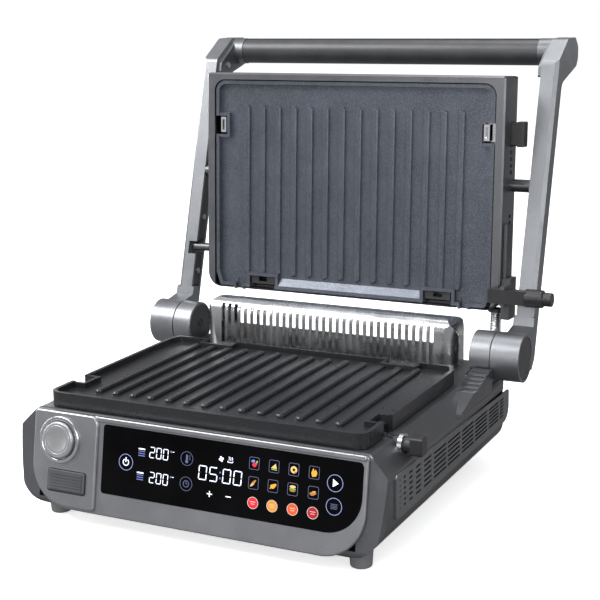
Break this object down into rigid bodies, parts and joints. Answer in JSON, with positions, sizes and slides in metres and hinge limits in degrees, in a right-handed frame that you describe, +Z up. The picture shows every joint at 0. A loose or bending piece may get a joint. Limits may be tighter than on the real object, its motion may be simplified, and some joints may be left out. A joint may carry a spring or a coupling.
{
  "type": "contact grill",
  "caption": "Open countertop contact grill: ribbed plates, floating lid on swing arms with a bar handle, slotted chrome smoke hood, black touch panel and stepped height adjuster",
  "frame": {"origin": "centre of the bottom of the bounding box of the open appliance, on the surface it stands on", "axes": "+X towards the viewer's right when facing the controls, +Y from the controls towards the hinge, +Z up"},
  "size_m": [0.4159, 0.4601, 0.4004],
  "materials": {
    "body_paint": "gunmetal metallic",
    "fascia_paint": "silver-grey metallic",
    "arm_silver": "satin",
    "lid_paint": "gunmetal metallic",
    "nonstick": "speckled non-stick",
    "black_glass": "gloss",
    "chrome": "polished",
    "steel": "brushed",
    "black_plastic": "satin",
    "grip_black": "satin",
    "dark_steel": "brushed",
    "rubber_grey": "matte",
    "sheet_alu": "bright rolled",
    "board_green": "circuit board",
    "element_steel": "heat-tinted",
    "grey_plastic": "satin",
    "brass": "bright",
    "braid": "corrugated"
  },
  "bodies": {
    "base": {"base_housing": "body_paint", "bottom_cover": "dark_steel", "feet": "rubber_grey", "front_fascia": "fascia_paint", "display_glass": "black_glass", "fan_button_bezel": "chrome", "probe_port_well": "black_plastic", "probe_jack": "brass", "control_board": "board_green", "side_vent_panels": "body_paint", "rear_grille": "black_plastic", "power_inlet": "black_plastic", "lower_reflector": "sheet_alu", "tray_posts": "steel", "lower_element": "element_steel", "element_brackets": "sheet_alu", "lower_plate": "nonstick", "lower_latches": "chrome", "rear_plate_hooks": "dark_steel", "smoke_hood": "chrome", "filter_mesh": "steel", "fan_bearings": "steel", "fan_motor": "dark_steel", "hinge_drums": "arm_silver", "drum_faces": "dark_steel", "hinge_shafts": "steel", "release_button_collar": "chrome", "step_rack": "body_paint", "rack_screw": "steel", "conduit_gland_base": "black_plastic", "wiring_conduit": "braid"},
    "arms": {"arm_right": "arm_silver", "arm_left": "arm_silver", "arm_cover_strips": "dark_steel", "arm_cover_screws": "steel", "drum_caps": "dark_steel", "handle_grip": "grip_black", "handle_strip": "dark_steel", "handle_brackets": "arm_silver", "bracket_screws": "steel"},
    "lid": {"lid_frame": "lid_paint", "lid_shell": "lid_paint", "upper_plate": "nonstick", "upper_reflector": "sheet_alu", "upper_element": "element_steel", "upper_element_clips": "sheet_alu", "upper_latches": "chrome", "upper_plate_hooks": "black_plastic", "lid_pivot_pins": "dark_steel", "lid_limit_pin": "dark_steel", "adjuster_rail": "dark_steel", "conduit_gland_lid": "black_plastic"},
    "adjuster": {"adjuster_carriage": "grey_plastic", "adjuster_lever": "black_plastic"},
    "upper_button": {"upper_release_button": "black_plastic"},
    "lower_button": {"lower_release_button": "black_plastic"},
    "fan_push_button": {"fan_button": "grey_plastic"},
    "port_flap": {"probe_port_cover": "grey_plastic"},
    "fan_rotor": {"fan_impeller": "steel"}
  },
  "joints": [
    {"name": "arms_swing", "type": "hinge", "parent": "base", "child": "arms", "pos_m": [-0.0086, 0.0587, 0.1108], "axis": [1, 0, 0], "range_deg": [0, 99], "deforming": ["wiring_conduit"]},
    {"name": "lid_tilt", "type": "hinge", "parent": "arms", "child": "lid", "pos_m": [-0.0086, 0.13153, 0.26203], "axis": [1, 0, 0], "range_deg": [-9, 0]},
    {"name": "height_adjust", "type": "slide", "parent": "lid", "child": "adjuster", "axis": [0, 0.0541, 0.9985], "range_m": [0, 0.044]},
    {"name": "upper_release_push", "type": "slide", "parent": "lid", "child": "upper_button", "axis": [-1, 0, 0], "range_m": [0, 0.003], "stiffness_N_per_m": 800},
    {"name": "lower_release_push", "type": "slide", "parent": "base", "child": "lower_button", "axis": [-1, 0, 0], "range_m": [0, 0.0025], "stiffness_N_per_m": 800},
    {"name": "fan_button_push", "type": "slide", "parent": "base", "child": "fan_push_button", "axis": [0, 0.9848, -0.1736], "range_m": [0, 0.0015], "stiffness_N_per_m": 800},
    {"name": "port_flap_hinge", "type": "hinge", "parent": "base", "child": "port_flap", "pos_m": [-0.1288, -0.2281, 0.03139], "axis": [1, 0, 0], "range_deg": [0, 80]},
    {"name": "fan_spin", "type": "hinge", "parent": "base", "child": "fan_rotor", "pos_m": [-0.0086, 0.0535, 0.062], "axis": [1, 0, 0], "continuous": true}
  ]
}
